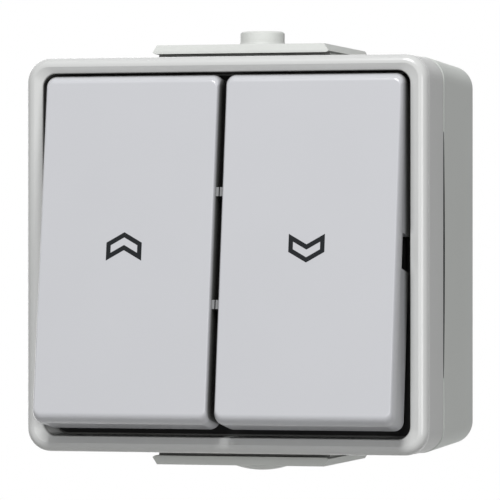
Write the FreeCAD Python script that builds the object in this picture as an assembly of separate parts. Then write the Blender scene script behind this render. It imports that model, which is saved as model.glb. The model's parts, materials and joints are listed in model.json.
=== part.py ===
import FreeCAD, Part
import math
import os

os.makedirs("parts", exist_ok=True)

V = FreeCAD.Vector

# All sizes are in millimetres. +X is to the right seen from the front, +Z is up and +Y runs into the
# wall. The origin is the centre of the face that lies on the wall. Depths are given as "out", the
# distance from the wall towards the hand, so y = -out.

# Cover
cover_width = 69.0
cover_height = 66.0
cover_depth = 12.6          # seam to the front edge
corner_radius = 4.0
front_rounding = 1.4
side_ring = 2.95            # width of the rim beside the rockers
end_ring = 2.65             # width of the rim above and below them
ring_fall = 0.5             # how far the rim slopes down to the opening
ridge_land = 0.1            # flat between the rounding and the slope
opening_radius = 2.2
lip_rounding = 0.3
pocket_depth = 8.2          # front edge to the inner floor
cover_floor = 2.0
skirt_wall = 1.6
seam_relief = 0.9           # widest part of the shadow gap along each side
seam_relief_span = 44.0

# Box
seam_out = 27.4             # wall to the seam between box and cover
box_proud = 0.1             # the box stands out past the cover at the seam
box_taper_x = 0.9           # how much each side draws in from the seam to the wall
box_taper_z = 0.4
rim_chamfer = 0.25
back_wall = 2.4
cavity_wall_x = 3.3         # box wall at the seam, at the sides
cavity_wall_z = 2.9         # the same at the top and bottom
cavity_radius = 2.5
tongue_gap = 0.2
gasket_thickness = 1.4

# Fixing to the wall
slot_spacing = 46.0
slot_length = 8.0
slot_width = 4.6
slot_pad = 1.0
slot_rim = 2.2
rib_root = 1.0              # how far a rib or boss runs into the wall it stands on

# Cable entries
entry_width = 30.7
entry_reach = 2.3           # how far it stands out over the cover from the seam
entry_bottom_gap = 0.95      # clear height between its lip and the cover
entry_lip = 1.5
entry_bevel_x = 0.8
entry_step = 0.4            # side step down to the narrower part against the box
entry_rise = 0.25
entry_neck_width = 24.0
entry_neck_depth = 12.8
entry_axis_shift = -0.1      # the cable's axis, in front of the middle of the room inside
entry_flange = 1.2
entry_flange_thickness = 1.1
nose_radius = 3.8
nose_height = 2.8
nose_fillet = 1.2
nose_wall = 1.0
nose_chamfer = 0.3
dome_width = 12.6
dome_height = 1.45

# Rockers
side_gap = 0.75
middle_gap = 0.8
end_clearance = 0.4         # sweep of a rocker end inside the opening
pivot_below_front = 4.0
face_above_pivot = 9.0
tilt = 8.0                   # each way from the middle
skirt_end = 1.05            # how far the skirt stays in front of the pivot
bevel_depth = 2.4
bevel_height = 1.6
edge_rounding = 0.6         # how far the long sides draw in over the bevel's depth
end_draft = 0.15
cap_corner = 1.6
cap_room_radius = 0.5
cap_face = 2.0
cap_wall = 1.3
cap_end_wall = 1.7
notch_below_face = 3.0      # the notch is in the side wall only
notch_height = 5.7
notch_depth = 1.3
notch_bulge = 0.3
notch_slant = 0.3           # the lower end of the notch falls away outwards
notch_foot = 0.6
nub_offset = 9.4
nub_height = 1.5
nub_reach = 0.3
nub_setback = 0.8           # from the face of the cap back to the nub
cap_rib_at = 17.6
cap_rib_depth = 1.4
cap_rib_thickness = 1.0
mould_overlap = 0.5         # how far moulded details run into the wall they grow from

# Toggles and axles
lug_cap_gap = 1.25          # from the side wall of the cap to the lug
toggle_plate = 1.6
toggle_web = 3.2
gusset_thickness = 1.6
gusset_height = 6.0
gusset_inset = 2.0
toggle_plate_height = 12.0
hub_radius = 2.8
axle_radius = 1.25
running_gap = 0.03
lever_radius = 3.0
lever_length = 11.0
plunger_radius = 1.6
plunger_gap = 0.05
bore_start = 3.8
plunger_start = 8.3
spring_wire = 0.2
spring_radius = 1.1
spring_turns = 4.5
spring_steps = 8            # straight pieces in each turn of the wire
hook_thickness = 1.2
hook_nose = 0.6
hook_width = 12.0
snap_gap = 0.12

# Bearing frame
bearing_plate = 1.8
bearing_height = 24.8
lug_thickness = 3.0
lug_half_height = 3.2
lug_side_gap = 0.5
lever_slot_width = 10.0
lever_slot_height = 10.8
peg_radius = 1.0
peg_length = 2.4
peg_gap = 0.02
peg_wall = 2.0              # between a peg and the pocket beside it
peg_z = 8.0
peg_end_gap = 0.3
frame_margin = 0.6
axle_end_gap = 0.2

# Membrane
membrane_thickness = 0.7
membrane_edge_gap = 0.3
collar_height = 1.7
collar_wall = 0.8
sleeve_gap = 0.5            # clear space round the lugs
sleeve_height = 13.2
sleeve_radius = 1.0

# Contact bridges
seesaw_pivot_below = 18.0   # from the rocker pivot back to the bridge pivot
seesaw_tilt = 6.0
seesaw_half_length = 10.4
seesaw_width = 5.2
seesaw_thickness = 1.2
knife_radius = 0.6
knife_gap = 0.05
knife_foot = 3.2
knife_side_gap = 0.2
contact_offset = 9.0
contact_radius = 1.3
contact_height = 0.6
contact_rise = 0.25         # a fixed contact above its strip
plunger_clearance = 0.08    # plunger tip to the bridge in mid travel

# Insert base
shoulder_ledge = 0.8        # how far the shoulder stands out past the body
shoulder_thickness = 4.6
shoulder_radius = 2.0
body_thickness = 10.6
body_side_wall = 1.6        # beside the pockets
body_end_wall = 1.4         # past the terminal chambers
body_radius = 1.5
pocket_width = 9.0
pocket_end_gap = 1.2        # past the ends of a bridge
pocket_radius = 1.0
strip_thickness = 0.8
strip_width = 4.0
strip_gap = 0.05
contact_gap = 0.06
chamber_width = 6.4
chamber_wall = 1.4          # between a pocket and the chamber past it
chamber_height = 4.6
bar_width = 2.4
bar_joint = 0.1             # how far an upright of a bar runs into its strip
pad_height = 3.6

# Terminals
block_width = 6.0
block_height = 4.4
block_thickness = 6.0
wire_bore = 1.3
wire_funnel = 1.6
wire_above_strip = 2.0
clamp_radius = 1.2
clamp_head_radius = 1.9
clamp_head = 1.7
clamp_open = 0.6

# Mounting plate and screws
plate_thickness = 1.0
plate_side_border = 2.2     # metal beside the hole for the base
plate_end_border = 3.0
plate_waist = 14.0
plate_radius = 2.0
post_radius = 2.8
post_wall_gap = 0.475
screw_radius = 1.5
screw_head_radius = 2.7
screw_head = 1.5
screw_length = 12.0
plate_screw_length = 10.0
thread_run = 0.5             # hole depth past the end of a screw
screw_clearance = 0.2
thread_gap = 0.02
boss_radius = 3.0
boss_edge = 4.4
boss_web = 1.6
recess_width = 0.7
recess_depth = 0.9
recess_reach = 0.6          # share of the head's radius
head_bevel = 0.25           # share of the head's height
head_sink = 0.1             # cover screw heads lie this far under the floor

# Values that follow from the sizes above
front_out = seam_out + cover_depth
entry_front_out = seam_out + entry_reach
entry_axis_out = (back_wall + seam_out) / 2 + entry_axis_shift
opening_width = cover_width - 2 * side_ring
opening_height = cover_height - 2 * end_ring
floor_out = front_out - pocket_depth
floor_back = floor_out - cover_floor
inner_width = cover_width - 2 * skirt_wall
inner_height = cover_height - 2 * skirt_wall
seam_width = cover_width + 2 * box_proud
seam_height = cover_height + 2 * box_proud
cavity_width = seam_width - 2 * cavity_wall_x
cavity_height = seam_height - 2 * cavity_wall_z
pivot_out = front_out - pivot_below_front
rocker_width = (opening_width - middle_gap) / 2 - side_gap
rocker_x = (middle_gap + rocker_width) / 2
toggle_width = rocker_width - 2 * (cap_wall + lug_cap_gap + lug_thickness + lug_side_gap)
bevel_base = face_above_pivot - bevel_depth
rocker_half_height = math.sqrt((opening_height / 2 - end_clearance) ** 2 - bevel_base ** 2)
bearing_front = floor_back - tongue_gap
bearing_back = bearing_front - bearing_plate
shoulder_back = bearing_back - shoulder_thickness
body_back = shoulder_back - body_thickness
plate_back = shoulder_back - plate_thickness
seesaw_pivot_out = pivot_out - seesaw_pivot_below
plunger_centre = (seesaw_pivot_below - seesaw_thickness - plunger_radius
                  - plunger_clearance)
contact_reach = (contact_height * math.cos(math.radians(seesaw_tilt))
                 + (contact_offset + contact_radius) * math.sin(math.radians(seesaw_tilt)))
fixed_contact_out = seesaw_pivot_out - contact_reach - contact_gap
strip_out = fixed_contact_out - contact_rise - strip_thickness
boss_x = cavity_width / 2 - boss_edge
boss_z = cavity_height / 2 - boss_edge
post_x = cavity_width / 2 - post_wall_gap - post_radius
body_width = 2 * (rocker_x + pocket_width / 2 + body_side_wall)
pocket_height = 2 * (seesaw_half_length + pocket_end_gap)
chamber_start = pocket_height / 2 + chamber_wall
body_height = 2 * (chamber_start + chamber_height + body_end_wall)
peg_x = rocker_x - pocket_width / 2 - peg_wall - peg_radius
lug_inner = rocker_x - toggle_width / 2 - lug_side_gap - lug_thickness
lug_outer = rocker_x + toggle_width / 2 + lug_side_gap
sleeve_inner = lug_inner - sleeve_gap
sleeve_outer = lug_outer + lug_thickness + sleeve_gap


def outline(width, height, radius, out, x=0.0, z=0.0):
    """A rounded rectangle in the plane at this distance from the wall."""
    starts = []
    for k in range(4):
        side_x = (1, -1, -1, 1)[k]
        side_z = (1, 1, -1, -1)[k]
        middle_x = x + side_x * (width / 2 - radius)
        middle_z = z + side_z * (height / 2 - radius)
        arc = []
        for step in (0, 45, 90):
            angle = math.radians(90 * k + step)
            arc.append(V(middle_x + radius * math.cos(angle), -out, middle_z + radius * math.sin(angle)))
        starts.append(arc)
    edges = []
    for k in range(4):
        edges.append(Part.Arc(*starts[k]).toShape())
        edges.append(Part.LineSegment(starts[k][2], starts[(k + 1) % 4][0]).toShape())
    return Part.Wire(edges)


def slab(width, height, radius, out_a, out_b, x=0.0, z=0.0):
    """A plate with rounded corners that fills the depth from out_a to out_b."""
    face = Part.Face(outline(width, height, radius, out_a, x, z))
    return face.extrude(V(0, out_a - out_b, 0))


def slot(width, height, out_a, out_b, z):
    """An upright bar with half-round ends on the middle line of the part."""
    reach = (height - width) / 2
    middle = block(-width / 2, width / 2, out_a, out_b, z - reach, z + reach)
    return join(middle, rod(width / 2, out_a, out_b, 0, z - reach), rod(width / 2, out_a, out_b, 0, z + reach))


def block(x_a, x_b, out_a, out_b, z_a, z_b):
    """A plain rectangular block between two corners."""
    return Part.makeBox(x_b - x_a, out_b - out_a, z_b - z_a, V(x_a, -out_b, z_a))


def rod(radius, out_a, out_b, x=0.0, z=0.0):
    """A round bar that points out of the wall."""
    return Part.makeCylinder(radius, out_b - out_a, V(x, -out_a, z), V(0, -1, 0))


def cross_rod(radius, x_a, x_b, out, z=0.0):
    """A round bar along X."""
    return Part.makeCylinder(radius, x_b - x_a, V(x_a, -out, z), V(1, 0, 0))


def upright_rod(radius, z_a, z_b, x, out):
    """A round bar along Z."""
    return Part.makeCylinder(radius, z_b - z_a, V(x, -out, z_a), V(0, 0, 1))


def join(first, *others):
    """One clean solid from several that overlap."""
    return first.fuse(list(others)).removeSplitter()


def edges_at(shape, out):
    """The edges that lie wholly at one distance from the wall."""
    found = []
    for edge in shape.Edges:
        box = edge.BoundBox
        if abs(box.YMin + out) < 1e-4 and abs(box.YMax + out) < 1e-4:
            found.append(edge)
    return found


def placed(shape, x, out, angle):
    """A piece made round its own pivot, turned about X and set at its place."""
    moved = shape.copy()
    moved.rotate(V(0, 0, 0), V(1, 0, 0), angle)
    moved.translate(V(x, -out, 0))
    return moved


def cover_frame():
    """Front cover: rounded rim, sloping inner edge, pocket with a floor, and a skirt behind."""
    body = slab(cover_width, cover_height, corner_radius, seam_out, front_out)
    body = body.makeFillet(front_rounding, edges_at(body, front_out))
    ridge = front_rounding + ridge_land
    ridge_width = cover_width - 2 * ridge
    ridge_height = cover_height - 2 * ridge
    ridge_radius = corner_radius - ridge
    slope = Part.makeLoft([outline(opening_width, opening_height, opening_radius, front_out - ring_fall),
                           outline(ridge_width, ridge_height, ridge_radius, front_out)], True, True)
    pocket = slab(opening_width, opening_height, opening_radius, floor_out, front_out)
    hollow = slab(inner_width, inner_height, corner_radius - skirt_wall, seam_out, floor_back)
    body = body.cut([slope, pocket, hollow])
    body = body.makeFillet(lip_rounding, edges_at(body, front_out - ring_fall))
    cuts = []
    for side in (-1, 1):
        middle = side * (sleeve_inner + sleeve_outer) / 2
        cuts.append(slab(sleeve_outer - sleeve_inner, sleeve_height, sleeve_radius, floor_back,
                         floor_out, middle))
        for end in (-1, 1):
            x = side * boss_x
            z = end * boss_z
            cuts.append(rod(screw_radius + screw_clearance, floor_back, floor_out, x, z))
            cuts.append(rod(screw_head_radius + screw_clearance, floor_out - screw_head, floor_out, x, z))
    return body.cut(cuts)


def box_shell():
    """Outside of the box, drawn in towards the wall, with a chamfered front rim."""
    foot = outline(seam_width - 2 * box_taper_x, seam_height - 2 * box_taper_z, corner_radius, 0)
    rim = outline(seam_width, seam_height, corner_radius, seam_out - rim_chamfer)
    edge = outline(seam_width - 2 * rim_chamfer, seam_height - 2 * rim_chamfer,
                   corner_radius - rim_chamfer, seam_out)
    return join(Part.makeLoft([foot, rim], True, True), Part.makeLoft([rim, edge], True, True))


def entry_neck(end, grow=0.0):
    """The part of a cable entry that passes through the box wall, grown for the hole it fits."""
    z_a = cavity_height / 2 - entry_flange_thickness
    z_b = seam_height / 2 + entry_bottom_gap
    low = min(end * z_a, end * z_b)
    high = max(end * z_a, end * z_b)
    wide = entry_neck_width / 2 + grow
    deep = entry_neck_depth / 2 + grow
    return block(-wide, wide, entry_axis_out - deep, entry_axis_out + deep, low, high)


def seam_gap():
    """What is missing from the rim of the box along each side, deepest half-way up."""
    radius = ((seam_relief_span / 2) ** 2 + seam_relief ** 2) / (2 * seam_relief)
    arc = cross_rod(radius, -cover_width, cover_width, seam_out - seam_relief + radius)
    return arc.common(block(-cover_width, cover_width, seam_out - seam_relief, seam_out + rib_root,
                            -seam_relief_span, seam_relief_span))


def back_box(shell):
    """The box: tray, tongue for the cover, bosses, posts, fixing slots and cable holes."""
    tongue_front = floor_back - gasket_thickness
    tongue = slab(inner_width - 2 * tongue_gap, inner_height - 2 * tongue_gap,
                  corner_radius - skirt_wall - tongue_gap, seam_out - rib_root, tongue_front)
    cavity = slab(cavity_width, cavity_height, cavity_radius, back_wall, tongue_front)
    body = join(shell.cut(seam_gap()), tongue).cut(cavity)
    adds = []
    cuts = []
    for side in (-1, 1):
        x = side * boss_x
        adds.append(rod(post_radius, back_wall - rib_root, plate_back, side * post_x))
        cuts.append(rod(screw_radius + thread_gap, shoulder_back - plate_screw_length - thread_run,
                        plate_back, side * post_x))
        for end in (-1, 1):
            z = end * boss_z
            adds.append(rod(boss_radius, back_wall - rib_root, floor_back - tongue_gap, x, z))
            web_out = tongue_front - gasket_thickness
            wall_x = side * (cavity_width / 2 + rib_root)
            wall_z = end * (cavity_height / 2 + rib_root)
            half = boss_web / 2
            adds.append(block(min(x, wall_x), max(x, wall_x), back_wall - rib_root, web_out, z - half, z + half))
            adds.append(block(x - half, x + half, back_wall - rib_root, web_out, min(z, wall_z),
                              max(z, wall_z)))
            cuts.append(rod(screw_radius + thread_gap, floor_out - screw_head - screw_length - thread_run,
                            floor_out, x, z))
    for end in (-1, 1):
        z = end * slot_spacing / 2
        adds.append(slot(slot_width + 2 * slot_rim, slot_length + 2 * slot_rim, back_wall - rib_root,
                         back_wall + slot_pad, z))
        cuts.append(slot(slot_width, slot_length, -rib_root, back_wall + slot_pad + rib_root, z))
        cuts.append(entry_neck(end, strip_gap))
    return join(body, *adds).cut(cuts)


def box_gasket():
    """Ring seal squeezed between the tongue of the box and the floor of the cover."""
    tongue_front = floor_back - gasket_thickness
    ring = slab(inner_width - 2 * tongue_gap, inner_height - 2 * tongue_gap,
                corner_radius - skirt_wall - tongue_gap, tongue_front, floor_back)
    hole = slab(cavity_width, cavity_height, cavity_radius, tongue_front, floor_back)
    return ring.cut(hole)


def entry_plate(end, shell):
    """Soft plate on the top (end 1) or bottom (end -1), with its neck and its inner flange."""
    lip_low = cover_height / 2 + entry_bottom_gap
    lip_high = lip_low + entry_lip
    half = entry_width / 2
    inside = seam_height / 2 - rib_root
    side = [(half - entry_step, inside), (half - entry_step, lip_low), (half, lip_low + entry_rise),
            (half - entry_bevel_x, lip_high)]
    profile = side + [(-x, z) for x, z in reversed(side)]
    points = [V(x, 0, end * z) for x, z in profile]
    solid = Part.Face(Part.makePolygon(points + points[:1])).extrude(V(0, -entry_front_out, 0))
    under = block(-half, half, seam_out - entry_step, entry_front_out + 1, 0, lip_low)
    if end < 0:
        under = under.mirror(V(0, 0, 0), V(0, 0, 1))
    flange_z = cavity_height / 2 - entry_flange_thickness
    low = min(end * flange_z, end * cavity_height / 2)
    wide = entry_neck_width / 2 + entry_flange
    deep = entry_neck_depth / 2 + entry_flange
    flange = block(-wide, wide, entry_axis_out - deep, entry_axis_out + deep, low,
                   low + entry_flange_thickness)
    return join(solid.cut([under, shell]), entry_neck(end), flange), lip_high


def cable_entry_top(shell):
    """Entry with a hollow nose, its end closed by a thin skin until it is cut for the cable."""
    body, top = entry_plate(1, shell)
    steps = 6
    points = [V(0, 0, top - rib_root), V(nose_radius + nose_fillet, 0, top - rib_root)]
    for k in range(steps + 1):
        angle = math.radians(90.0 * k / steps)
        points.append(V(nose_radius + nose_fillet * (1 - math.sin(angle)), 0,
                        top + nose_fillet * (1 - math.cos(angle))))
    points.append(V(nose_radius, 0, top + nose_height - nose_chamfer))
    points.append(V(nose_radius - nose_chamfer, 0, top + nose_height))
    points.append(V(0, 0, top + nose_height))
    face = Part.Face(Part.makePolygon(points + points[:1]))
    nose = face.revolve(V(0, 0, 0), V(0, 0, 1), 360)
    nose.translate(V(0, -entry_axis_out, 0))
    bore = upright_rod(nose_radius - nose_wall, 0, top + nose_height - nose_wall, 0, entry_axis_out)
    return join(body, nose).cut(bore)


def cable_entry_bottom(shell):
    """Entry with a shallow dome to be pierced, hollow behind."""
    body, low = entry_plate(-1, shell)
    radius = ((dome_width / 2) ** 2 + dome_height ** 2) / (2 * dome_height)
    middle = V(0, -entry_axis_out, -low + radius - dome_height)
    ball = Part.makeSphere(radius, middle)
    cap = ball.common(upright_rod(dome_width / 2, -low - dome_height - rib_root, -low + rib_root, 0,
                                  entry_axis_out))
    inner = Part.makeSphere(radius - nose_wall, middle)
    room = upright_rod(dome_width / 2 - nose_wall, -low - dome_height, 0, 0, entry_axis_out)
    floor = block(-dome_width, dome_width, 0, 2 * entry_axis_out, -low - dome_height, -low + nose_wall)
    scoop = room.cut(floor).fuse(room.common(inner))
    return join(body, cap).cut(scoop)


def sealing_membrane():
    """Black mat on the floor of the cover, with a raised collar round each toggle."""
    front = floor_out + membrane_thickness
    mat = slab(opening_width - 2 * membrane_edge_gap, opening_height - 2 * membrane_edge_gap,
               opening_radius - membrane_edge_gap, floor_out, front)
    collars = []
    holes = []
    for side in (-1, 1):
        middle = side * (sleeve_inner + sleeve_outer) / 2
        width = sleeve_outer - sleeve_inner
        collars.append(slab(width + 2 * collar_wall, sleeve_height + 2 * collar_wall,
                            sleeve_radius + collar_wall, floor_out, front + collar_height, middle))
        holes.append(slab(width, sleeve_height, sleeve_radius, floor_out, front + collar_height, middle))
    return join(mat, *collars).cut(holes)


def rocker_cap(notched):
    """One rocker cap about its own pivot, nubs to the left and, where wanted, a notch to the right."""
    half_h = rocker_half_height
    end_base = outline(rocker_width, 2 * (half_h + end_draft), cap_corner, skirt_end)
    sections = []
    for step in (0, 18, 36, 54, 72, 90):
        angle = math.radians(step)
        inset = 1 - math.cos(angle)
        sections.append(outline(rocker_width - 2 * edge_rounding * inset, 2 * (half_h - bevel_height * inset),
                                cap_corner - edge_rounding * inset,
                                bevel_base + bevel_depth * math.sin(angle)))
    skirt = Part.makeLoft([end_base, sections[0]], True, True)
    crown = Part.makeLoft(sections, True, False)
    room_width = rocker_width - 2 * cap_wall
    room_height = 2 * (half_h - cap_end_wall)
    face_back = face_above_pivot - cap_face
    room = slab(room_width, room_height, cap_room_radius, skirt_end, face_back)
    body = join(skirt, crown).cut(room)
    adds = []
    grip = toggle_plate_height / 2 + snap_gap
    catch = face_back - toggle_plate - snap_gap
    root = face_back + mould_overlap
    for end in (-1, 1):
        low = min(end * grip, end * (grip + hook_thickness))
        adds.append(block(-hook_width / 2, hook_width / 2, catch - hook_nose, root, low, low + hook_thickness))
        tip = end * (grip - hook_nose)
        wall = end * (grip + hook_thickness / 2)
        adds.append(block(-hook_width / 2, hook_width / 2, catch - hook_nose, catch, min(tip, wall),
                          max(tip, wall)))
        rib = end * cap_rib_at - cap_rib_thickness / 2
        wide = room_width / 2 + mould_overlap
        adds.append(block(-wide, wide, face_back - cap_rib_depth, root, rib, rib + cap_rib_thickness))
        nub = end * nub_offset
        adds.append(block(-rocker_width / 2 - nub_reach, -rocker_width / 2 + mould_overlap,
                          skirt_end + mould_overlap, face_above_pivot - nub_setback,
                          nub - nub_height / 2, nub + nub_height / 2))
    body = join(body, *adds)
    if not notched:
        return body
    edge = rocker_width / 2
    top = notch_height / 2
    back = edge - notch_depth
    outside = edge + notch_depth
    foot = V(back, 0, -top + notch_foot)
    curve = Part.Arc(V(back, 0, top), V(back - notch_bulge, 0, 0), foot).toShape()
    corner = V(outside, 0, top)
    rest = [foot, V(edge, 0, -top - notch_slant), V(outside, 0, -top - notch_slant), corner]
    wire = Part.Wire([Part.makePolygon([corner, V(back, 0, top)]), curve, Part.makePolygon(rest)])
    notch = Part.Face(wire).extrude(V(0, notch_below_face - face_above_pivot, 0))
    return body.cut(notch)


def toggle():
    """Cradle about its own pivot: hub on the axle, plate for the cap, hollow lever for the plunger."""
    half = toggle_width / 2
    face_back = face_above_pivot - cap_face
    hub = cross_rod(hub_radius, -half, half, 0)
    plate = block(-half, half, face_back - toggle_plate, face_back, -toggle_plate_height / 2,
                  toggle_plate_height / 2)
    web = block(-half, half, 0, face_back - toggle_plate, -toggle_web / 2, toggle_web / 2)
    lever = rod(lever_radius, -lever_length, 0)
    wing = [V(-half + gusset_inset, 0, 0), V(-lever_radius, gusset_height, 0),
            V(lever_radius, gusset_height, 0), V(half - gusset_inset, 0, 0)]
    gusset = Part.Face(Part.makePolygon(wing + wing[:1])).extrude(V(0, 0, gusset_thickness))
    gusset.translate(V(0, 0, -gusset_thickness / 2))
    body = join(hub, plate, web, lever, gusset)
    return body.cut([cross_rod(axle_radius + running_gap, -half, half, 0),
                     rod(plunger_radius + plunger_gap, -lever_length, -bore_start)])


def plunger():
    """Round-nosed pin that slides in the lever."""
    shank = rod(plunger_radius, -plunger_centre, -plunger_start)
    return join(shank, Part.makeSphere(plunger_radius, V(0, plunger_centre, 0)))


def spring():
    """Small compression spring between the bottom of the lever bore and the plunger."""
    start = bore_start + spring_wire + plunger_gap
    length = plunger_start - spring_wire - plunger_gap - start
    corners = []
    for side in ((1, 0), (0, 1), (-1, 0), (0, -1)):
        corners.append(V(spring_radius + side[0] * spring_wire, side[1] * spring_wire, 0))
    sections = []
    steps = int(spring_turns * spring_steps)
    for k in range(steps + 1):
        section = Part.makePolygon(corners + corners[:1])
        section.rotate(V(0, 0, 0), V(0, 1, 0), 360.0 * k / spring_steps)
        section.translate(V(0, start + length * k / steps, 0))
        sections.append(section)
    return Part.makeLoft(sections, True, True)


def seesaw():
    """Contact bridge about its own pivot, a strip with a trough for the knife and a contact at each end."""
    half = seesaw_width / 2
    strip = block(-half, half, 0, seesaw_thickness, -seesaw_half_length, seesaw_half_length)
    buttons = [rod(contact_radius, -contact_height, 0, 0, end * contact_offset) for end in (-1, 1)]
    return join(strip, *buttons).cut(cross_rod(knife_radius + knife_gap, -half, half, 0))


def knife(x):
    """Foot and rounded edge that a contact bridge rocks on."""
    half = seesaw_width / 2 - knife_side_gap
    strip_top = strip_out + strip_thickness
    foot = block(x - half, x + half, strip_out, strip_top, -knife_foot / 2, knife_foot / 2)
    edge = block(x - half, x + half, strip_out, seesaw_pivot_out, -knife_radius, knife_radius)
    return [foot, edge, cross_rod(knife_radius, x - half, x + half, seesaw_pivot_out)]


def fixed_contact(x, z):
    """Small raised contact on a strip."""
    return rod(contact_radius, strip_out, fixed_contact_out, x, z)


def on_contact(x):
    """Upper fixed contact with its strip, which ends under the terminal block."""
    strip = block(x - strip_width / 2, x + strip_width / 2, strip_out, strip_out + strip_thickness,
                  contact_offset - strip_width / 2, chamber_start + block_height)
    return join(strip, fixed_contact(x, contact_offset))


def common_contact(x):
    """Line contact: knife for the left bridge, and a run behind the base to the line terminal."""
    strip_top = strip_out + strip_thickness
    wide = bar_width / 2
    foot_z = -chamber_start - chamber_height / 2
    down = block(x - wide, x + wide, body_back, strip_out + bar_joint, -strip_thickness / 2,
                 strip_thickness / 2)
    run = block(x - wide, x + wide, body_back, body_back + strip_thickness, foot_z, strip_thickness / 2)
    rise = block(x - wide, x + wide, body_back, strip_top, foot_z - strip_thickness / 2,
                 foot_z + strip_thickness / 2)
    pad = block(x - wide, x + wide, strip_out, strip_top, foot_z - pad_height / 2, foot_z + pad_height / 2)
    return join(*knife(x), down, run, rise, pad)


def link_bar(x_a, x_b):
    """From the lower contact of the left bridge behind the base to the knife of the right one."""
    wide = bar_width / 2
    low = -contact_offset - wide
    high = -contact_offset + wide
    leg_x = x_a + strip_width / 2 + strip_thickness
    pad = block(x_a - strip_width / 2, leg_x, strip_out, strip_out + strip_thickness, low, high)
    leg = block(leg_x - strip_thickness, leg_x, body_back, strip_out + strip_thickness, low, high)
    across = block(leg_x - strip_thickness, x_b + wide, body_back, body_back + strip_thickness, low, high)
    up = block(x_b - wide, x_b + wide, body_back, body_back + strip_thickness, low, strip_thickness / 2)
    rise = block(x_b - wide, x_b + wide, body_back, strip_out + bar_joint, -strip_thickness / 2,
                 strip_thickness / 2)
    return join(pad, fixed_contact(x_a, -contact_offset), leg, across, up, rise, *knife(x_b))


def insert_base(metal, terminals):
    """Moulded base: shoulder on the mounting plate, a pocket for each bridge, chambers for terminals."""
    shoulder = slab(body_width + 2 * shoulder_ledge, body_height + 2 * shoulder_ledge, shoulder_radius,
                    shoulder_back, bearing_back)
    body = slab(body_width, body_height, body_radius, body_back, shoulder_back)
    base = join(shoulder, body)
    cuts = []
    for side in (-1, 1):
        cuts.append(slab(pocket_width, pocket_height, pocket_radius, strip_out, bearing_back, side * rocker_x))
        for end in (-1, 1):
            cuts.append(rod(peg_radius + peg_gap, bearing_back - peg_length - peg_end_gap, bearing_back,
                            side * peg_x, end * peg_z))
    for x, end in terminals:
        middle = end * (chamber_start + chamber_height / 2)
        cuts.append(block(x - chamber_width / 2, x + chamber_width / 2, strip_out, bearing_back,
                          middle - chamber_height / 2, middle + chamber_height / 2))
        reach = end * (body_height / 2 + 2 * shoulder_ledge)
        cuts.append(upright_rod(wire_funnel, min(middle, reach), max(middle, reach), x,
                                strip_out + strip_thickness + wire_above_strip))
        if end > 0:
            cuts.append(block(x - strip_width / 2, x + strip_width / 2, strip_out,
                              strip_out + strip_thickness, pocket_height / 2 - pocket_radius, middle))
    stop = rod(contact_radius, strip_out - rib_root, fixed_contact_out, rocker_x, -contact_offset)
    return base.cut(cuts).fuse(stop).cut(metal)


def terminal_block(x, end):
    """Brass block with a hole for the wire and a threaded hole for the clamp screw."""
    z = end * (chamber_start + chamber_height / 2)
    back = strip_out + strip_thickness
    body = block(x - block_width / 2, x + block_width / 2, back, back + block_thickness,
                 z - block_height / 2, z + block_height / 2)
    wire = upright_rod(wire_bore, z - block_height, z + block_height, x, back + wire_above_strip)
    return body.cut([wire, rod(clamp_radius + thread_gap, back + wire_above_strip, back + block_thickness, x, z)])


def screw(radius, length, head_radius, head, head_back, x, z):
    """Round-headed screw with a cross recess, its head resting at head_back."""
    front = head_back + head
    cap = rod(head_radius, head_back, front, x, z)
    cap = cap.makeChamfer(head * head_bevel, edges_at(cap, front))
    shank = rod(radius, head_back - length, head_back, x, z)
    arm = head_radius * recess_reach
    bite = front - recess_depth
    half = recess_width / 2
    cross = [block(x - arm, x + arm, bite, front, z - half, z + half),
             block(x - half, x + half, bite, front, z - arm, z + arm)]
    return join(cap, shank).cut(cross)


def clamp_screw(x, end):
    """Clamp screw of a terminal, backed off to let the wire in."""
    z = end * (chamber_start + chamber_height / 2)
    front = strip_out + strip_thickness + block_thickness
    tip = strip_out + strip_thickness + wire_above_strip + wire_bore
    head_back = front + clamp_open
    return screw(clamp_radius, head_back - tip, clamp_head_radius, clamp_head, head_back, x, z)


def mounting_plate():
    """Steel plate that the base hangs in, screwed to the posts of the box through its two ears."""
    ears = slab(2 * (post_x + post_radius), plate_waist, plate_radius, plate_back, shoulder_back)
    middle = slab(body_width + 2 * plate_side_border, body_height + 2 * plate_end_border, plate_radius,
                  plate_back, shoulder_back)
    hole = slab(body_width + 2 * strip_gap, body_height + 2 * strip_gap, body_radius + strip_gap, plate_back,
                shoulder_back)
    cuts = [hole]
    for side in (-1, 1):
        cuts.append(rod(screw_radius + screw_clearance, plate_back, shoulder_back, side * post_x))
    return join(ears, middle).cut(cuts)


def bearing_frame():
    """Plate over the base with four lugs for the axles and pegs into the base."""
    width = 2 * (lug_outer + lug_thickness + frame_margin)
    body = slab(width, bearing_height, body_radius, bearing_back, bearing_front)
    adds = []
    cuts = []
    for side in (-1, 1):
        cuts.append(slab(lever_slot_width, lever_slot_height, sleeve_radius, bearing_back, bearing_front,
                         side * rocker_x))
        for start in (lug_inner, lug_outer):
            low = min(side * start, side * (start + lug_thickness))
            adds.append(block(low, low + lug_thickness, bearing_back, pivot_out, -lug_half_height,
                              lug_half_height))
            adds.append(cross_rod(lug_half_height, low, low + lug_thickness, pivot_out))
            cuts.append(cross_rod(axle_radius + thread_gap, low, low + lug_thickness, pivot_out))
        for end in (-1, 1):
            adds.append(rod(peg_radius, bearing_back - peg_length, bearing_back + mould_overlap,
                            side * peg_x, end * peg_z))
    return join(body, *adds).cut(cuts)


def axle(side):
    """Steel pin through the two lugs and the hub of one toggle."""
    low = side * (lug_inner + axle_end_gap)
    high = side * (lug_outer + lug_thickness - axle_end_gap)
    return cross_rod(axle_radius, min(low, high), max(low, high), pivot_out)


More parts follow.
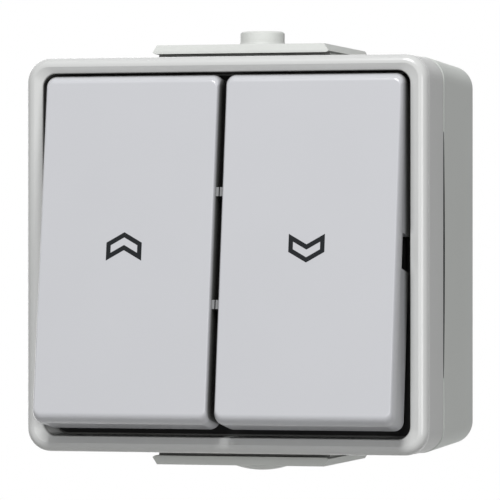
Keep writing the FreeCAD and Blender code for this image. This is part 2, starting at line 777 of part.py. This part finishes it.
def build():
    """Every piece by name, where it lies at rest: both rockers off, their top ends in."""
    shell = box_shell()
    pieces = {}
    pieces["back_box"] = back_box(shell)
    pieces["box_gasket"] = box_gasket()
    pieces["cable_entry_top"] = cable_entry_top(shell)
    pieces["cable_entry_bottom"] = cable_entry_bottom(shell)
    pieces["cover_frame"] = cover_frame()
    pieces["sealing_membrane"] = sealing_membrane()
    corners = {"top_left": (-1, 1), "top_right": (1, 1), "bottom_left": (-1, -1), "bottom_right": (1, -1)}
    for name, (side, end) in corners.items():
        pieces["cover_screw_" + name] = screw(screw_radius, screw_length, screw_head_radius,
                                              screw_head - head_sink, floor_out - screw_head,
                                              side * boss_x, end * boss_z)
    pieces["mounting_plate"] = mounting_plate()
    pieces["bearing_frame"] = bearing_frame()
    terminals = {"up": (-rocker_x, 1), "down": (rocker_x, 1), "line": (-rocker_x, -1)}
    metal = {"common_contact": common_contact(-rocker_x), "link_bar": link_bar(-rocker_x, rocker_x),
             "on_contact_up": on_contact(-rocker_x), "on_contact_down": on_contact(rocker_x)}
    pieces.update(metal)
    pieces["insert_base"] = insert_base(list(metal.values()), list(terminals.values()))
    for name, (x, end) in terminals.items():
        pieces["terminal_" + name] = terminal_block(x, end)
        pieces["clamp_screw_" + name] = clamp_screw(x, end)
    cap = rocker_cap(True)
    turned = rocker_cap(False)
    turned.rotate(V(0, 0, 0), V(0, 1, 0), 180)
    for name, side in (("left", -1), ("right", 1)):
        pieces["plate_screw_" + name] = screw(screw_radius, plate_screw_length, screw_head_radius,
                                              screw_head, shoulder_back, side * post_x, 0)
    for name, side, shape in (("up", -1, turned), ("down", 1, cap)):
        x = side * rocker_x
        pieces["rocker_" + name] = placed(shape, x, pivot_out, -tilt)
        pieces["toggle_" + name] = placed(toggle(), x, pivot_out, -tilt)
        pieces["plunger_" + name] = placed(plunger(), x, pivot_out, -tilt)
        pieces["spring_" + name] = placed(spring(), x, pivot_out, -tilt)
        pieces["axle_" + name] = axle(side)
        pieces["seesaw_" + name] = placed(seesaw(), x, seesaw_pivot_out, seesaw_tilt)
    return pieces


def main():
    """Write one file for each piece and print what it measures."""
    for name, shape in build().items():
        solids = shape.Solids
        shape = solids[0] if len(solids) == 1 else shape
        shape.exportStep("parts/" + name + ".step")
        box = shape.BoundBox
        print(f"{name:28s} solids {len(solids)} valid {shape.isValid()} volume {shape.Volume:9.1f}"
              f"  x {box.XMin:6.2f} {box.XMax:6.2f}  y {box.YMin:6.2f} {box.YMax:6.2f}"
              f"  z {box.ZMin:6.2f} {box.ZMax:6.2f}")


main()
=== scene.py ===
# %% [markdown]
# # A surface-mounted roller shutter switch
# The object is a small splash-proof box on a wall with two rocker caps, one marked with a chevron that
# points up and one with a chevron that points down. All its solid pieces come ready from the frame, at
# their real size. This notebook gives each of them its finish, adds what is too thin to be a solid, such
# as the printed signs, and sets a camera and soft light as for a catalogue picture.

# %% Load the frame
import json
import math
import bpy
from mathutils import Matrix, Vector


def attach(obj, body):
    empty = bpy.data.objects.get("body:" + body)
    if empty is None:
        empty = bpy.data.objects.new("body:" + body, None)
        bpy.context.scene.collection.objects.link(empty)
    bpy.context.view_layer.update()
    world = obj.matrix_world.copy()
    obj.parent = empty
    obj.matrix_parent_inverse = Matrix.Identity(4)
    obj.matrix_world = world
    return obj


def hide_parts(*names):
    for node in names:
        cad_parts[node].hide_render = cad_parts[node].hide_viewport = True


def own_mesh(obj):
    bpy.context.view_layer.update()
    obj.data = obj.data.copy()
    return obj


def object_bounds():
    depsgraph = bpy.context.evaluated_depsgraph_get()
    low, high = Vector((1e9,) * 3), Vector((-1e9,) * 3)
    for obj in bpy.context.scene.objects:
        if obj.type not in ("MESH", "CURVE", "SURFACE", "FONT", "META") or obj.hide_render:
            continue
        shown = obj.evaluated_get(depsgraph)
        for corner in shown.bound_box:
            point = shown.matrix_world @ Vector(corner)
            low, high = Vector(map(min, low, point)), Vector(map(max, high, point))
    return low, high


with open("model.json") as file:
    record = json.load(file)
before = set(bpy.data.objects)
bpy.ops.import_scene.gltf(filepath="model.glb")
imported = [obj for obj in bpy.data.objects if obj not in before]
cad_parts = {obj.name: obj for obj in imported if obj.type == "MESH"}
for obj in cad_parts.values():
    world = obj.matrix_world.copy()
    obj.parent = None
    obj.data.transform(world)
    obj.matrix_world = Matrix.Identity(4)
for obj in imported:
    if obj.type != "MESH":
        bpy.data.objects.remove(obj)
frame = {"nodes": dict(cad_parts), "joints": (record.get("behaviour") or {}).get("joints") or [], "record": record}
cad_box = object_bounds()
mm = 0.001
print("pieces in the frame:", len(frame["nodes"]))
print("whole object, mm:", [round((high - low) / mm, 2) for low, high in zip(*cad_box)])

# %% [markdown]
# ## The camera
# A long lens from far away keeps the edges of a small product nearly parallel, which is how catalogue
# pictures are taken. The camera stands to the right of the switch and level with it. It is placed by the
# point that it looks at, its distance and its angle round the object, because those three can be read
# and changed one by one.

# %% Camera
SENSOR = 36.0
LENS = 298.1
CAMERA_DISTANCE = 686.9 * mm
CAMERA_TURN = math.radians(15.01)
CAMERA_RISE = 0.0
AIM = Vector((4.21, -38.87, 0.33)) * mm
CENTRE_DROP = 2.85 / 500     # how far the optical centre lies below the middle, as a share of the picture

camera_data = bpy.data.cameras.new("catalogue_camera")
camera_data.sensor_width = SENSOR
camera_data.lens = LENS
camera_data.shift_y = CENTRE_DROP
camera = bpy.data.objects.new("catalogue_camera", camera_data)
bpy.context.scene.collection.objects.link(camera)
towards_camera = Vector((math.sin(CAMERA_TURN) * math.cos(CAMERA_RISE),
                         -math.cos(CAMERA_TURN) * math.cos(CAMERA_RISE),
                         math.sin(CAMERA_RISE)))
camera.location = AIM + CAMERA_DISTANCE * towards_camera
camera.rotation_euler = (-towards_camera).to_track_quat("-Z", "Y").to_euler()
bpy.context.scene.camera = camera
bpy.context.scene.view_settings.view_transform = "Standard"
print("camera at, mm:", [round(value / mm, 1) for value in camera.location])

# %% [markdown]
# ## Helpers for materials
# Colours are easiest to compare with a picture as sRGB hex values, but shaders work with linear light, so
# one function turns one into the other. The second adds a node with its settings and its links in one
# line, which keeps each finish short enough to read at a glance. The third starts a material, and gives
# the object's own coordinates, in metres, so that every pattern has its real size and moves with its piece.

# %% Colour and node helpers
def linear(hex_colour):
    """An sRGB hex colour such as "C4C6C8" as linear red, green, blue and alpha."""
    shares = [int(hex_colour[k:k + 2], 16) / 255 for k in (0, 2, 4)]
    return tuple(s / 12.92 if s <= 0.04045 else ((s + 0.055) / 1.055) ** 2.4 for s in shares) + (1.0,)


def put(tree, kind, settings=None, **links):
    """Add a node. Settings name its properties or input sockets; links name an input and give an output."""
    node = tree.nodes.new(kind)
    for name, value in (settings or {}).items():
        if name in node.inputs:
            node.inputs[name].default_value = value
        else:
            setattr(node, name, value)
    for name, output in links.items():
        tree.links.new(output, node.inputs[name.replace("_", " ")])
    return node


print("light grey plastic in linear light:", [round(c, 3) for c in linear("C4C6C8")])


# %% A new material
def start_material(name):
    """A new material with an empty tree: its tree, its shader and the object's own coordinates."""
    material = bpy.data.materials.new(name)
    material.use_nodes = True
    tree = material.node_tree
    tree.nodes.clear()
    shader = put(tree, "ShaderNodeBsdfPrincipled")
    put(tree, "ShaderNodeOutputMaterial", Surface=shader.outputs["BSDF"])
    place = put(tree, "ShaderNodeTexCoord").outputs["Object"]
    return material, tree, shader, place


COLOUR_A, COLOUR_B, COLOUR_OUT = 6, 7, 2   # a Mix node's own numbers for its two colours and its result

# %% [markdown]
# ## Moulded plastic
# Every plastic here is injection moulded, so its surface is a copy of the tool's steel. A polished tool
# leaves a smooth face with a faint unevenness that only shows in reflections, and a spark-eroded tool
# leaves a fine grain. One function makes both: a slow noise changes the colour and the gloss by a
# little, and a fine noise at the grain's real width makes the bump. Hard plastics have an IOR near 1.5.
# Rubber, foam and ink get a lower one, because their rough or broken surface throws back less light.
#
# Shade in narrow places is painted into the colour: a ray test measures how open each point is within a few
# millimetres, and narrow places get a darker grey as painted shade, so that the gaps read deep.

# %% Moulded plastic finish
SHADE_PATCH = 14 * mm         # width of the slow changes of shade and gloss
GLOSS_CHANGE = 0.04
SHADE_REACH = 2.2 * mm        # how far away a wall still darkens a surface with painted shade
SHADE_RAYS = 8
FULLY_SHADED_AT, UNSHADED_AT = 0.2, 0.85   # openness of a point with full painted shade and of an unshaded one


def moulded(name, colour, shade, roughness, grain_mm, grain_depth_mm, ior=1.5, crevice_shade=None):
    """Moulded plastic: slow change of shade and gloss, fine grain as bump, painted shade in narrow gaps."""
    material, tree, shader, place = start_material(name)
    slow = put(tree, "ShaderNodeTexNoise", {"Scale": 1 / SHADE_PATCH, "Detail": 2.0}, Vector=place)
    tint = put(tree, "ShaderNodeMix", {"data_type": "RGBA"}, Factor=slow.outputs["Fac"])
    tint.inputs[COLOUR_A].default_value = linear(shade)
    tint.inputs[COLOUR_B].default_value = linear(colour)
    surface_colour = tint.outputs[COLOUR_OUT]
    # painted shade: the colour turns to a darker grey where the ray test finds the point closed in
    if crevice_shade:
        openness = put(tree, "ShaderNodeAmbientOcclusion",
                       {"Distance": SHADE_REACH, "samples": SHADE_RAYS})
        unshaded_share = put(tree, "ShaderNodeMapRange", {"From Min": FULLY_SHADED_AT, "From Max": UNSHADED_AT},
                      Value=openness.outputs["AO"])
        crevice_shaded = put(tree, "ShaderNodeMix", {"data_type": "RGBA"}, Factor=unshaded_share.outputs["Result"])
        crevice_shaded.inputs[COLOUR_A].default_value = linear(crevice_shade)
        tree.links.new(surface_colour, crevice_shaded.inputs[COLOUR_B])
        surface_colour = crevice_shaded.outputs[COLOUR_OUT]
    tree.links.new(surface_colour, shader.inputs["Base Color"])
    gloss = put(tree, "ShaderNodeMapRange",
                {"To Min": roughness - GLOSS_CHANGE, "To Max": roughness + GLOSS_CHANGE},
                Value=slow.outputs["Fac"])
    tree.links.new(gloss.outputs["Result"], shader.inputs["Roughness"])
    grain = put(tree, "ShaderNodeTexNoise", {"Scale": 1 / (grain_mm * mm), "Detail": 1.0}, Vector=place)
    bump = put(tree, "ShaderNodeBump", {"Distance": grain_depth_mm * mm, "Strength": 1.0},
               Height=grain.outputs["Fac"])
    tree.links.new(bump.outputs["Normal"], shader.inputs["Normal"])
    shader.inputs["IOR"].default_value = ior
    print("made", name)
    return material


# %% [markdown]
# ## The greys of the housing
# Cover and rockers are light grey ASA from a polished tool: smooth and half glossy, the rockers a little
# cooler. The box behind is the same plastic from a finely eroded tool, so it looks a shade flatter. The
# cable entries are TPE, a soft rubbery plastic, which is nearly matt.

# %% Housing materials
# grey of the painted shade in narrow places
CREVICE_SHADE_GREY = "686866"

rocker_plastic = moulded("ASA_polished_rocker_grey", "C3C4C8", "C1C2C6", roughness=0.22,
                         grain_mm=0.9, grain_depth_mm=0.0010, crevice_shade=CREVICE_SHADE_GREY)
cover_plastic = moulded("ASA_polished_cover_grey", "CBCCCB", "C8C9C8", roughness=0.22,
                        grain_mm=0.9, grain_depth_mm=0.0012, crevice_shade=CREVICE_SHADE_GREY)
box_plastic = moulded("ASA_eroded_box_grey", "C4C8C4", "C0C4C0", roughness=0.46,
                      grain_mm=0.35, grain_depth_mm=0.004, crevice_shade=CREVICE_SHADE_GREY)
entry_rubber = moulded("TPE_soft_entry_grey", "D0D2CF", "CCCECB", roughness=0.58,
                       grain_mm=0.4, grain_depth_mm=0.004, ior=1.48, crevice_shade=CREVICE_SHADE_GREY)

# %% [markdown]
# ## Painted shade in the middle gap
# Two small nubs on the inner side of each rocker keep the rockers apart. The nubs and the walls beside them
# get a painted shade, a darker grey for the shade that falls between the two rockers, so they look darker
# than the faces. Nothing else of a rocker lies so near to the plane between the two, so the distance from it is
# the mask.

# %% Painted shade in the middle gap
UNSHADED_FROM = 0.62 * mm        # distances from the middle plane: the walls lie at 0.4, the nubs nearer
SHADED_TO = 0.52 * mm
GAP_SHADE_TINT = "B4B4B2"          # the plastic under the painted shade is its own grey times this

tree = rocker_plastic.node_tree
shader = tree.nodes["Principled BSDF"]
place = put(tree, "ShaderNodeTexCoord").outputs["Object"]
across = put(tree, "ShaderNodeSeparateXYZ", Vector=place).outputs["X"]
off_middle = put(tree, "ShaderNodeMath", {"operation": "ABSOLUTE"})
tree.links.new(across, off_middle.inputs[0])
gap_shade_share = put(tree, "ShaderNodeMapRange", {"From Min": UNSHADED_FROM, "From Max": SHADED_TO},
                  Value=off_middle.outputs[0])
# painted shade: the rocker's colour is multiplied darker near the middle plane
darkened = put(tree, "ShaderNodeMix", {"data_type": "RGBA", "blend_type": "MULTIPLY"},
            Factor=gap_shade_share.outputs["Result"])
tree.links.new(shader.inputs["Base Color"].links[0].from_socket, darkened.inputs[COLOUR_A])
darkened.inputs[COLOUR_B].default_value = linear(GAP_SHADE_TINT)
tree.links.new(darkened.outputs[COLOUR_OUT], shader.inputs["Base Color"])
print("rockers are dusty within, mm from the middle:", round(SHADED_TO / mm, 2))

# %% [markdown]
# ## The eroded sides of the cover
# A polished side would rub on the tool when the cover is pushed out, so a moulder polishes only the front
# and gives the sides the box's fine grain. The gloss is therefore mixed by the depth at which a point
# lies: polished up to where the edge's rounding ends, grained behind it.

# %% Eroded sides
POLISHED_TO = -38.6 * mm      # depth of the rounding's end, and of the first fully grained point
GRAINED_FROM = -37.4 * mm
SIDE_ROUGHNESS = 0.46
VALUE_A, VALUE_B, VALUE_OUT = 2, 3, 0   # a Mix node's own numbers for its two values and its result

tree = cover_plastic.node_tree
shader = tree.nodes["Principled BSDF"]
place = put(tree, "ShaderNodeTexCoord").outputs["Object"]
depth = put(tree, "ShaderNodeSeparateXYZ", Vector=place).outputs["Y"]
grained = put(tree, "ShaderNodeMapRange", {"From Min": POLISHED_TO, "From Max": GRAINED_FROM}, Value=depth)
gloss = put(tree, "ShaderNodeMix", {"data_type": "FLOAT"}, Factor=grained.outputs["Result"])
tree.links.new(shader.inputs["Roughness"].links[0].from_socket, gloss.inputs[VALUE_A])
gloss.inputs[VALUE_B].default_value = SIDE_ROUGHNESS
tree.links.new(gloss.outputs[VALUE_OUT], shader.inputs["Roughness"])
print("cover is grained behind, mm from the wall:", round(-GRAINED_FROM / mm, 1))

# %% [markdown]
# ## Black rubber
# The mat behind the rockers is EPDM rubber. It is what makes the gaps round the rockers so dark: it
# swallows nearly all the light that gets in. The gasket is foamed from the same rubber.

# %% Rubber materials
membrane_rubber = moulded("EPDM_rubber_black", "111112", "0E0E0F", roughness=0.7,
                          grain_mm=0.5, grain_depth_mm=0.006, ior=1.4)
gasket_rubber = moulded("EPDM_foam_gasket", "1E1E1F", "1A1A1B", roughness=0.8,
                        grain_mm=0.6, grain_depth_mm=0.02, ior=1.15)

# %% [markdown]
# ## Plastics of the insert
# The base that holds the contacts is dark glass-filled polyamide, whose fibres leave it slightly rough.
# The bearing frame and the rocker cradles are white PBT, a slippery plastic that pins turn in.

# %% Insert materials
base_plastic = moulded("PA66_glass_filled_dark", "54565A", "4B4D51", roughness=0.55,
                       grain_mm=0.5, grain_depth_mm=0.008, ior=1.53)
bearing_plastic = moulded("PBT_natural_white", "E2E1DA", "DCDBD3", roughness=0.42,
                          grain_mm=0.6, grain_depth_mm=0.003, ior=1.55)

# %% [markdown]
# ## Metals
# The screws and the mounting plate are steel with a thin zinc coat, which has a bluish sheen and a faint
# cloudy pattern. The springs are drawn wire with fine draw marks. The contacts and terminals are stamped
# brass. A metal takes its colour from its reflection, so metallic is 1 and the IOR stays at its default.

# %% Metal finish and materials
METAL_GLOSS_CHANGE = 0.08
SCRATCH_SQUEEZE = (0.05, 1.0, 1.0)   # squeezing the pattern along X makes each mark 20 times as long


def metal(name, colour, cloud, roughness, cloud_mm, scratch_mm, scratch_depth_mm):
    """Plain or plated metal: cloudy colour and gloss, and fine scratches that run along X."""
    material, tree, shader, place = start_material(name)
    clouds = put(tree, "ShaderNodeTexNoise", {"Scale": 1 / (cloud_mm * mm), "Detail": 3.0}, Vector=place)
    tint = put(tree, "ShaderNodeMix", {"data_type": "RGBA"}, Factor=clouds.outputs["Fac"])
    tint.inputs[COLOUR_A].default_value = linear(cloud)
    tint.inputs[COLOUR_B].default_value = linear(colour)
    tree.links.new(tint.outputs[COLOUR_OUT], shader.inputs["Base Color"])
    gloss = put(tree, "ShaderNodeMapRange",
                {"To Min": roughness - METAL_GLOSS_CHANGE, "To Max": roughness + METAL_GLOSS_CHANGE},
                Value=clouds.outputs["Fac"])
    tree.links.new(gloss.outputs["Result"], shader.inputs["Roughness"])
    stretched = put(tree, "ShaderNodeMapping", {"Scale": SCRATCH_SQUEEZE}, Vector=place)
    lines = put(tree, "ShaderNodeTexNoise", {"Scale": 1 / (scratch_mm * mm), "Detail": 2.0},
                Vector=stretched.outputs["Vector"])
    bump = put(tree, "ShaderNodeBump", {"Distance": scratch_depth_mm * mm, "Strength": 1.0},
               Height=lines.outputs["Fac"])
    tree.links.new(bump.outputs["Normal"], shader.inputs["Normal"])
    shader.inputs["Metallic"].default_value = 1.0
    print("made", name)
    return material


zinc_steel = metal("zinc_plated_steel", "C9CCD1", "B4B9C1", roughness=0.32,
                   cloud_mm=3.0, scratch_mm=0.15, scratch_depth_mm=0.002)
spring_steel = metal("drawn_spring_steel", "A9A8A6", "8F8E8C", roughness=0.28,
                     cloud_mm=1.5, scratch_mm=0.08, scratch_depth_mm=0.001)
contact_brass = metal("stamped_brass", "D9B566", "C69E4E", roughness=0.3,
                      cloud_mm=4.0, scratch_mm=0.12, scratch_depth_mm=0.002)

# %% [markdown]
# ## Giving each piece its finish
# The frame's record says which finish each piece was meant to have. Following it means that a piece that
# is added to the model later also gets the right material, with no second list to keep up to date.

# %% Materials on the pieces
FINISHES = {"box_grey": box_plastic, "cover_grey": cover_plastic, "rocker_grey": rocker_plastic,
            "entry_grey": entry_rubber, "gasket": gasket_rubber, "membrane_black": membrane_rubber,
            "zinc_steel": zinc_steel, "spring_steel": spring_steel, "insert_white": bearing_plastic,
            "insert_dark": base_plastic, "contact_brass": contact_brass}

for part in frame["record"]["subparts"]:
    piece = frame["nodes"][part["node"]]
    if not piece.material_slots:
        piece.data.materials.append(None)
    for slot in piece.material_slots:
        slot.material = FINISHES[part["material_slot"]]

# %% [markdown]
# ## The printed signs
# Each rocker carries an outlined chevron in black pad-printing ink. A picture on the surface would need an
# image, so the ink is a real, very thin sheet instead: an outer and an inner outline with a strip of faces
# between them, lifted off the face by a hair and given the ink's own thickness. The face of a rocker leans
# by half of its stroke, and its place is measured from the hinge that the rocker turns on.

# %% Chevron shape
SIGN_WIDTH = 6.1 * mm
SIGN_SIDE = 3.0 * mm          # height of its upright sides
SIGN_PEAK = 1.75 * mm         # rise of the point above the shoulders
SIGN_STROKE = 0.75 * mm
SIGN_CORNERS = 6


def chevron_outline(inset):
    """The corners of the chevron, drawn in by this much along every edge, pointing up."""
    half = SIGN_WIDTH / 2
    slope = SIGN_PEAK / half
    across = inset * math.hypot(1, slope)
    side = half - inset
    bottom_side = -SIGN_SIDE / 2 - SIGN_PEAK / 2
    bottom = bottom_side + across
    top = bottom_side + SIGN_SIDE - across
    return [(-side, bottom + slope * inset), (0, bottom + SIGN_PEAK), (side, bottom + slope * inset),
            (side, top + slope * inset), (0, top + SIGN_PEAK), (-side, top + slope * inset)]


print("chevron corners, mm:", [(round(x / mm, 2), round(z / mm, 2)) for x, z in chevron_outline(0)])

# %% Chevrons on the rockers
INK_LIFT = 0.004 * mm
INK_THICKNESS = 0.02 * mm
FACE_ABOVE_PIVOT = 9.0 * mm
FACE_LEAN = math.radians(8)

ink = moulded("pad_printing_ink_black", "131619", "101316", roughness=0.6,
              grain_mm=0.6, grain_depth_mm=0.001, ior=1.25)
hinges = {joint["child"]: Vector(joint["pos_m"]) for joint in frame["joints"] if joint["type"] == "hinge"}


def printed_chevron(name, body, centre_x, rise, direction):
    """A thin sheet of ink on the leaning face of a rocker; direction is 1 for up and -1 for down."""
    pivot = hinges[body]
    corners = []
    for lift in (INK_LIFT, INK_LIFT + INK_THICKNESS):
        for inset in (0, SIGN_STROKE):
            for x, z in chevron_outline(inset):
                along = direction * z + rise
                out = FACE_ABOVE_PIVOT + lift
                y = -out * math.cos(FACE_LEAN) + along * math.sin(FACE_LEAN)
                up = out * math.sin(FACE_LEAN) + along * math.cos(FACE_LEAN)
                corners.append((centre_x + direction * x, pivot.y + y, pivot.z + up))
    back_outer, back_inner, front_outer, front_inner = range(0, 4 * SIGN_CORNERS, SIGN_CORNERS)
    faces = []
    for k in range(SIGN_CORNERS):
        following = (k + 1) % SIGN_CORNERS
        for a, b in ((back_outer, back_inner), (front_inner, front_outer),
                     (front_outer, back_outer), (back_inner, front_inner)):
            faces.append((a + k, a + following, b + following, b + k))
    mesh = bpy.data.meshes.new(name)
    mesh.from_pydata(corners, [], faces)
    mesh.materials.append(ink)
    sign = bpy.data.objects.new(name, mesh)
    bpy.context.scene.collection.objects.link(sign)
    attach(sign, body)
    print(name, "faces:", len(faces))


printed_chevron("sign_up", "up_rocker", -15.8 * mm, 0.15 * mm, 1)
printed_chevron("sign_down", "down_rocker", 15.4 * mm, -0.15 * mm, -1)

# %% [markdown]
# ## A painted shadow in the seam
# Half-way up each side the rim of the box draws back by up to a millimetre, and the seam shows there as a
# thin dark bow between box and cover, where shade falls into the narrow groove. A slim solid in the gasket's
# black rubber paints that shadow: its back edge follows the arc of the rim and its front edge is the straight
# edge of the cover. It is pressed out as far as the walls beside it, because in a deeper groove the lit walls
# would show and the line would be grey.

# %% Painted seam shadows
SEAM_OUT = 27.4 * mm          # distance of the seam from the wall
BOW_DEPTH = 0.9 * mm          # how far the rim draws back in the middle
BOW_SPAN = 44.0 * mm
BOW_TIP = 1.5 * mm            # length at each end where the bow is too thin for the strip
STRIP_CLEARANCE = 0.03 * mm
STRIP_OUTSIDE = 34.56 * mm      # distance of its outer face from the middle of the switch
STRIP_INSIDE = 33.4 * mm
STRIP_STEPS = 24
STRIP_CORNERS = 4


def seam_shadow_strip(name, side):
    """A dark bow-shaped strip that paints the shadow in the seam; side is 1 for the right and -1 for the left."""
    bow_radius = ((BOW_SPAN / 2) ** 2 + BOW_DEPTH ** 2) / (2 * BOW_DEPTH)
    half_length = BOW_SPAN / 2 - BOW_TIP
    corners = []
    for k in range(STRIP_STEPS + 1):
        z = half_length * (2 * k / STRIP_STEPS - 1)
        depth = BOW_DEPTH - bow_radius + math.sqrt(bow_radius ** 2 - z ** 2)
        front, back = -SEAM_OUT + STRIP_CLEARANCE, -SEAM_OUT + depth - STRIP_CLEARANCE
        for x, y in ((STRIP_OUTSIDE, front), (STRIP_OUTSIDE, back), (STRIP_INSIDE, back), (STRIP_INSIDE, front)):
            corners.append((side * x, y, z))
    last = STRIP_CORNERS * STRIP_STEPS
    faces = [(0, 1, 2, 3), (last + 3, last + 2, last + 1, last)]
    for first in range(0, last, STRIP_CORNERS):
        for c in range(STRIP_CORNERS):
            following = (c + 1) % STRIP_CORNERS
            faces.append((first + c, first + STRIP_CORNERS + c,
                          first + STRIP_CORNERS + following, first + following))
    if side > 0:
        faces = [face[::-1] for face in faces]   # so that every face looks outwards on both sides
    mesh = bpy.data.meshes.new(name)
    mesh.from_pydata(corners, [], faces)
    # painted shadow: black rubber fills the groove where the seam has only shade
    mesh.materials.append(gasket_rubber)
    shadow_strip = bpy.data.objects.new(name, mesh)
    bpy.context.scene.collection.objects.link(shadow_strip)
    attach(shadow_strip, "housing")
    print(name, "faces:", len(faces))


seam_shadow_strip("seam_shadow_right", 1)
seam_shadow_strip("seam_shadow_left", -1)

# %% [markdown]
# ## The springs in the rockers
# Inside each rocker a small coil spring presses a plunger on the contact bridge. Half-way through a
# switching stroke the plunger slips back into the rocker and the spring gets shorter. Here a copy of the
# coil with a mesh of its own takes the rigid spring's place and moves with the rocker; it keeps the drawn
# steel, and the rigid spring is hidden. A rigid solid can't do that, so a copy of the coil takes its
# place: it keeps the drawn steel.

# %% Springs
for side in ("up", "down"):
    rigid = frame["nodes"]["spring_" + side]
    coil = bpy.data.objects.new("coil_" + side, rigid.data.copy())
    bpy.context.scene.collection.objects.link(coil)
    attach(coil, side + "_rocker")
    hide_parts("spring_" + side)
    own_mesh(coil)

# %% [markdown]
# ## Floor and light
# The floor is a pale disc below the switch that turns clear towards its rim, so it runs into the white of
# the background and no horizon shows. The world gives a weak even light from all sides and shows as
# plain white to the camera and in reflections.
#
# Four soft lamps model the form, as in a small product studio. The key stands high above the camera: it
# brightens everything that leans back or faces up and throws the shade of the rockers on the lower rim. A
# weak lamp beside the camera lifts the shade in front. One on the right lights the side walls and draws
# the fine line along every edge that faces right. A large one behind, on the left, lets the back and the
# left side be seen.

# %% World
WORLD_LIGHT = 0.08
world = bpy.data.worlds.new("white_studio")
bpy.context.scene.world = world
world.use_nodes = True
tree = world.node_tree
tree.nodes.clear()
rays = put(tree, "ShaderNodeLightPath")
direct = put(tree, "ShaderNodeMath", {"operation": "ADD"})
tree.links.new(rays.outputs["Is Camera Ray"], direct.inputs[0])
tree.links.new(rays.outputs["Is Glossy Ray"], direct.inputs[1])
seen = put(tree, "ShaderNodeMath", {"operation": "ADD", "use_clamp": True})
tree.links.new(direct.outputs[0], seen.inputs[0])
tree.links.new(rays.outputs["Is Transmission Ray"], seen.inputs[1])
level = put(tree, "ShaderNodeMapRange", {"To Min": WORLD_LIGHT, "To Max": 1.0}, Value=seen.outputs[0])
sky = put(tree, "ShaderNodeBackground", {"Color": (1, 1, 1, 1)}, Strength=level.outputs["Result"])
put(tree, "ShaderNodeOutputWorld", Surface=sky.outputs["Background"])
print("world light:", WORLD_LIGHT)

# %% Floor
FLOOR_DROP = 120 * mm
FLOOR_RADIUS = 220 * mm
FLOOR_FADE = 40 * mm          # distance from the middle at which the floor starts to fade
FLOOR_CLEAR = FLOOR_RADIUS * 0.97   # just inside the rim it is fully clear, so the rim never shows
FLOOR_STEPS = 96

floor_z = cad_box[0][2] - FLOOR_DROP
rim = [(FLOOR_RADIUS * math.cos(2 * math.pi * k / FLOOR_STEPS),
        FLOOR_RADIUS * math.sin(2 * math.pi * k / FLOOR_STEPS), floor_z) for k in range(FLOOR_STEPS)]
floor_mesh = bpy.data.meshes.new("floor")
floor_mesh.from_pydata(rim, [], [tuple(range(FLOOR_STEPS))])
floor = bpy.data.objects.new("floor", floor_mesh)
bpy.context.scene.collection.objects.link(floor)
print("floor at z, mm:", round(floor_z / mm, 1))

# %% Paper of the floor
floor_paper, tree, shader, place = start_material("matt_white_paper")
shader.inputs["Base Color"].default_value = linear("F2F2F0")
shader.inputs["Roughness"].default_value = 0.9
flat = put(tree, "ShaderNodeVectorMath", {"operation": "MULTIPLY"})
tree.links.new(place, flat.inputs[0])
flat.inputs[1].default_value = (1, 1, 0)
from_middle = put(tree, "ShaderNodeVectorMath", {"operation": "LENGTH"})
tree.links.new(flat.outputs["Vector"], from_middle.inputs[0])
fade = put(tree, "ShaderNodeMapRange",
           {"From Min": FLOOR_FADE, "From Max": FLOOR_CLEAR, "interpolation_type": "SMOOTHSTEP"},
           Value=from_middle.outputs["Value"])
clear = put(tree, "ShaderNodeBsdfTransparent")
mixed = put(tree, "ShaderNodeMixShader")
tree.links.new(fade.outputs["Result"], mixed.inputs[0])
tree.links.new(shader.outputs["BSDF"], mixed.inputs[1])
tree.links.new(clear.outputs["BSDF"], mixed.inputs[2])
tree.links.new(mixed.outputs["Shader"], tree.nodes["Material Output"].inputs["Surface"])
floor_mesh.materials.append(floor_paper)
print("floor fades from, mm:", round(FLOOR_FADE / mm), "to:", round(FLOOR_CLEAR / mm, 1))

# %% Lamps
LAMP_DISTANCE = 1.2


def softbox(name, direction, size, share):
    """A square lamp aimed at the switch; share is the light that a face turned to it gets, 1 being plain."""
    data = bpy.data.lights.new(name, "AREA")
    data.shape = "SQUARE"
    data.size = size
    data.energy = share * math.pi ** 2 * LAMP_DISTANCE ** 2
    lamp = bpy.data.objects.new(name, data)
    bpy.context.scene.collection.objects.link(lamp)
    away = Vector(direction).normalized()
    lamp.location = away * LAMP_DISTANCE
    lamp.rotation_euler = (-away).to_track_quat("-Z", "Y").to_euler()
    print(name, "watts:", round(data.energy, 2))


softbox("key_softbox", (0.04, -0.69, 0.72), 0.35, 0.87)
softbox("front_fill", (0.1, -1.0, 0.03), 0.4, 0.08)
softbox("side_softbox", (0.59, -0.81, 0.0), 0.45, 0.28)
softbox("back_fill", (-0.6, 0.79, 0.1), 1.3, 0.36)
